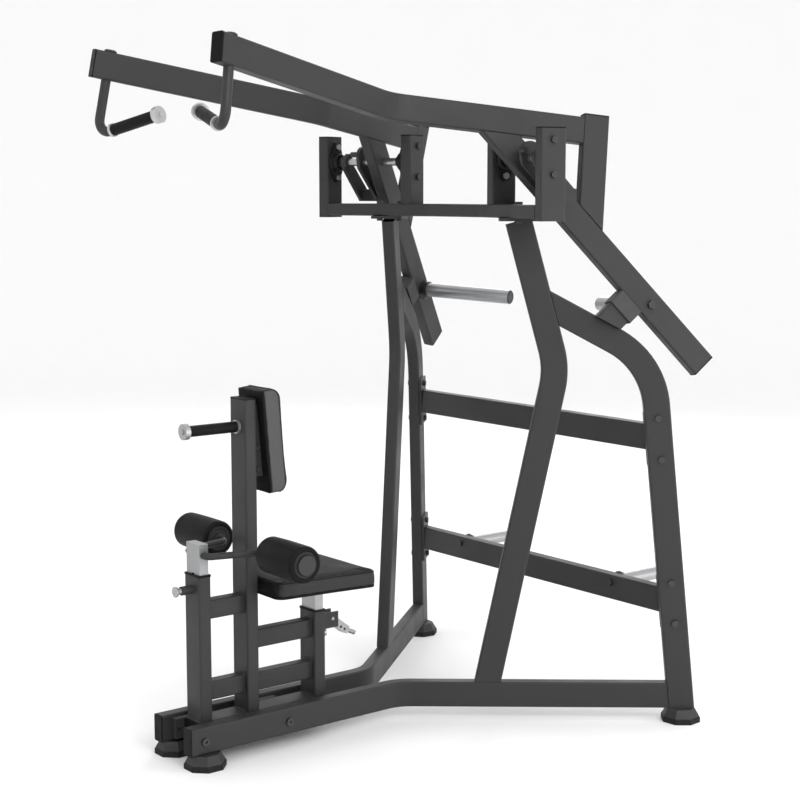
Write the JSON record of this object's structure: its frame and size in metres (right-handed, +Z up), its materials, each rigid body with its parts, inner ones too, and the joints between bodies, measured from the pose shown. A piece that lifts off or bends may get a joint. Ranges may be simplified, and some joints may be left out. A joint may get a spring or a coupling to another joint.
{
  "type": "lat pulldown machine",
  "caption": "Plate-loaded lat pulldown gym machine with two independent lever arms, seat, chest pad and knee rollers.",
  "frame": {"origin": "on the floor, midway across and midway along the machine", "axes": "+Z up; the user faces -Y and the weights are at +Y; +X is the user's left"},
  "size_m": [1.3966, 1.6514, 2.0301],
  "materials": {
    "powder": "charcoal powder coat, fine satin texture",
    "steel": "satin grey plated steel",
    "zinc": "zinc plated fasteners and shafts",
    "casting": "black painted cast housing",
    "rubber": "black rubber",
    "plastic": "black moulded plastic caps",
    "vinyl": "black upholstery vinyl over foam"
  },
  "bodies": {
    "frame": {"base_rail_left": "powder", "base_rail_right": "powder", "front_upright_left": "powder", "front_upright_right": "powder", "rear_upright_left": "powder", "rear_upright_right": "powder", "pivot_crossbar": "powder", "joint_plates": "powder", "upper_brace": "powder", "lower_brace": "powder", "frame_bolts": "zinc", "storage_peg_left": "steel", "storage_peg_right": "steel", "outer_posts": "powder", "inner_posts": "powder", "bearings_left": "casting", "bearings_right": "casting", "bearing_bolts": "zinc", "tube_caps": "plastic", "bumper_stubs": "powder", "bumpers": "rubber", "column_spine": "powder", "knee_post": "powder", "chest_post": "powder", "seat_post": "powder", "chest_bracket": "powder", "chest_bolts": "zinc", "chest_pad": "vinyl", "chest_bar": "steel", "chest_grip": "rubber", "foot_plates": "powder", "foot_pads": "rubber", "seat_bracket": "powder"},
    "left_arm": {"arm_beam_left": "powder", "arm_strut_left": "powder", "weight_lever_left": "powder", "pivot_shaft_left": "zinc", "shaft_brace_left": "powder", "weight_horn_left": "steel", "handle_left": "powder", "handle_grip_left": "rubber", "arm_caps_left": "plastic"},
    "right_arm": {"arm_beam_right": "powder", "arm_strut_right": "powder", "weight_lever_right": "powder", "pivot_shaft_right": "zinc", "shaft_brace_right": "powder", "weight_horn_right": "steel", "handle_right": "powder", "handle_grip_right": "rubber", "arm_caps_right": "plastic"},
    "knee_carriage": {"knee_slider": "steel", "roller_bar": "powder"},
    "roller_left": {"roller_left": "vinyl"},
    "roller_right": {"roller_right": "vinyl"},
    "knee_pin": {"knee_pin": "steel"},
    "seat_carriage": {"seat_slider": "steel", "seat_pad": "vinyl"},
    "seat_lever": {"seat_lever": "steel"},
    "seat_pin": {"seat_pin": "steel"}
  },
  "joints": [
    {"name": "left_arm_pull", "type": "hinge", "parent": "frame", "child": "left_arm", "pos_m": [0.374, 0.2162, 1.721], "axis": [0.9563, -0.2924, 0], "range_deg": [0, 58]},
    {"name": "right_arm_pull", "type": "hinge", "parent": "frame", "child": "right_arm", "pos_m": [-0.374, 0.2162, 1.721], "axis": [0.9563, 0.2924, 0], "range_deg": [0, 58]},
    {"name": "knee_height", "type": "slide", "parent": "frame", "child": "knee_carriage", "axis": [0, 0, 1], "range_m": [-0.04, 0.1]},
    {"name": "left_roller_spin", "type": "hinge", "parent": "knee_carriage", "child": "roller_left", "pos_m": [0.224, -0.5363, 0.599], "axis": [1, 0, 0], "continuous": true},
    {"name": "right_roller_spin", "type": "hinge", "parent": "knee_carriage", "child": "roller_right", "pos_m": [-0.224, -0.5363, 0.599], "axis": [1, 0, 0], "continuous": true},
    {"name": "knee_pin_pull", "type": "slide", "parent": "frame", "child": "knee_pin", "axis": [0, -1, 0], "range_m": [0, 0.012], "stiffness_N_per_m": 900, "springref_m": -0.004},
    {"name": "seat_height", "type": "slide", "parent": "frame", "child": "seat_carriage", "axis": [0, 0, 1], "range_m": [-0.06, 0.06]},
    {"name": "seat_release", "type": "hinge", "parent": "frame", "child": "seat_lever", "pos_m": [0, -0.2343, 0.338], "axis": [1, 0, 0], "range_deg": [0, 20], "stiffness_Nm_per_rad": 3, "springref_deg": -14.32},
    {"name": "seat_pin_pull", "type": "slide", "parent": "frame", "child": "seat_pin", "axis": [0, 1, 0], "range_m": [0, 0.012]}
  ],
  "couplings": [
    {"joint": "seat_pin_pull", "follows": "seat_release", "m_per_rad": 0.034}
  ]
}
